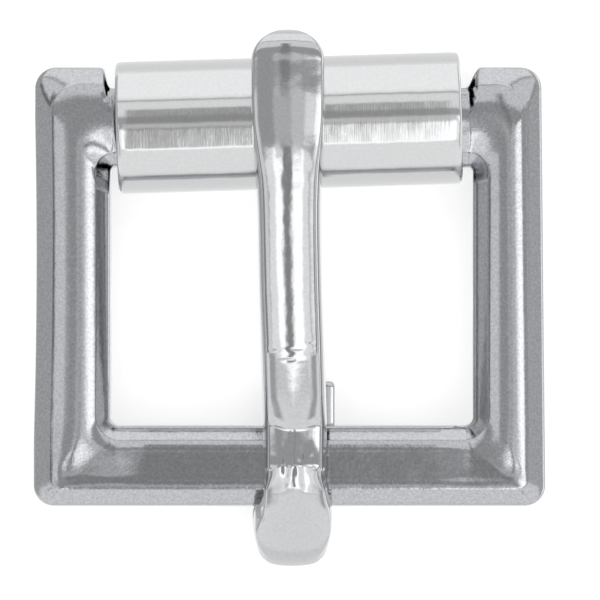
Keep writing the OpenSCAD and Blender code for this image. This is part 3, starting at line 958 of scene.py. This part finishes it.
# A wide lamp with a bright middle. Its ends are rounded about LAMP_MIDDLE on both sides, by
# LAMP_BEND times the square of the distance from there.
LAMPS = [
    (-0.23, 0.23, -0.36, -0.04, 0.012, 226),
    (-0.09, 0.09, -0.36, -0.04, 0.012, 270),
]
LAMP_MIDDLE = 0.09
LAMP_BEND = 4.0
# What stands in front of the lamps
FRAMES = [
    # Light above the lamps' middle, and a dark slit down it
    (-0.070, 0.070, -0.06, 0.035, 0.012, 208),
    (-0.034, 0.010, -0.36, 0.26, 0.010, 128),
    # Shades, lights and dark posts beside the lamps
    (-0.40, -0.16, -0.50, -0.24, 0.05, 160),
    (0.18, 0.40, -0.50, -0.24, 0.05, 160),
    (-0.75, -0.36, -0.75, -0.36, 0.06, 214),
    (0.36, 0.75, -0.75, -0.36, 0.06, 214),
    (-0.47, -0.38, -0.22, -0.06, 0.03, 125),
    (0.38, 0.47, -0.22, -0.06, 0.03, 125),
    # Steps of grey across the side bars' faces
    (-0.08, 0.02, -0.03, 0.03, 0.012, 174),
    (0.02, 0.09, -0.03, 0.03, 0.012, 190),
    (0.09, 0.15, -0.03, 0.03, 0.012, 222),
    (0.15, 0.22, -0.03, 0.03, 0.012, 262),
    # Thin lines of the studio's frames
    (-0.5, 0.5, 0.40, 0.43, 0.006, 150),
]
BASE_GREY = 218
# Roughly what the steels reflect of the light, so that a card shows about its own grey in them
STEEL_GREY = 0.62


def card_edge(tree, value, at, soft, rising):
    """A soft edge: 0 on one side of a slope and 1 on the other."""
    made = tree.nodes.new("ShaderNodeMapRange")
    made.interpolation_type = "SMOOTHSTEP"
    made.inputs["From Min"].default_value = at - soft
    made.inputs["From Max"].default_value = at + soft
    made.inputs["To Min"].default_value = 0 if rising else 1
    made.inputs["To Max"].default_value = 1 if rising else 0
    tree.links.new(value, made.inputs["Value"])
    return made.outputs["Result"]


def card_cover(tree, sides, soft):
    """How much a card covers, from each slope and the card's two edges in it."""
    cover = 1.0
    for value, low, high in sides:
        for at, rising in ((low, True), (high, False)):
            if abs(at) < FAR:
                cover = maths(tree, "MULTIPLY", cover, card_edge(tree, value, at, soft, rising))
    return cover


def make_world():
    """The studio's cards, laid over each other by the slope that mirrors them."""
    world = bpy.data.worlds.new("studio")
    bpy.context.scene.world = world
    world.use_nodes = True
    tree = world.node_tree
    place = tree.nodes.new("ShaderNodeTexCoord")
    parts = tree.nodes.new("ShaderNodeSeparateXYZ")
    tree.links.new(place.outputs["Generated"], parts.inputs[0])
    x, y, z = parts.outputs
    above = maths(tree, "MAXIMUM", maths(tree, "ADD", z, 1.0), 0.001)
    p = maths(tree, "DIVIDE", x, above)
    q = maths(tree, "DIVIDE", y, above)
    off = maths(tree, "SUBTRACT", maths(tree, "ABSOLUTE", p), LAMP_MIDDLE)
    bent = maths(tree, "MULTIPLY_ADD", maths(tree, "MULTIPLY", off, off), LAMP_BEND, q)
    light = level(BASE_GREY)
    for cards, height in ((SURROUNDINGS, q), (LAMPS, bent), (FRAMES, q)):
        for p_low, p_high, q_low, q_high, soft, grey in cards:
            made = tree.nodes.new("ShaderNodeMix")
            made.data_type = "FLOAT"
            cover = card_cover(tree, ((p, p_low, p_high), (height, q_low, q_high)), soft)
            feed(tree, cover, made.inputs["Factor"])
            feed(tree, light, made.inputs["A"])
            made.inputs["B"].default_value = level(grey)
            light = made.outputs["Result"]
    background = tree.nodes["Background"]
    tree.links.new(light, background.inputs["Color"])
    background.inputs["Strength"].default_value = 1 / STEEL_GREY


# The pieces, each in place of its node

def piece(name, rings, node_name, body, material, closed=False):
    """A mesh that rides on its body and replaces its node."""
    obj = skin(name, rings, closed)
    obj.data.materials.append(material)
    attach(obj, body)
    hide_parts(node_name)


make_camera()
make_floor()
make_world()
# Colour, roughness, height of the grain and of the mottling, strength of the speckle
FRAME_STEEL = steel("frame_steel", (0.50, 0.51, 0.53), 0.10, 0.0035, 0.006, 0.17)
TONGUE_STEEL = steel("tongue_steel", (0.57, 0.575, 0.585), 0.07, 0.001, 0.003, 0.07)
ROLLER_STEEL = steel("roller_steel", (0.64, 0.645, 0.65), 0.11, 0.0007, 0.001, 0.04, brush=0.0022)
piece("frame_cast", frame_rings(), "frame", "frame", FRAME_STEEL, closed=True)
piece("roller_tube", roller_rings(), "roller", "roller", ROLLER_STEEL)
piece("tongue_cast", tongue_rings(), "tongue", "tongue", TONGUE_STEEL)

bpy.context.scene.view_settings.view_transform = "Standard"
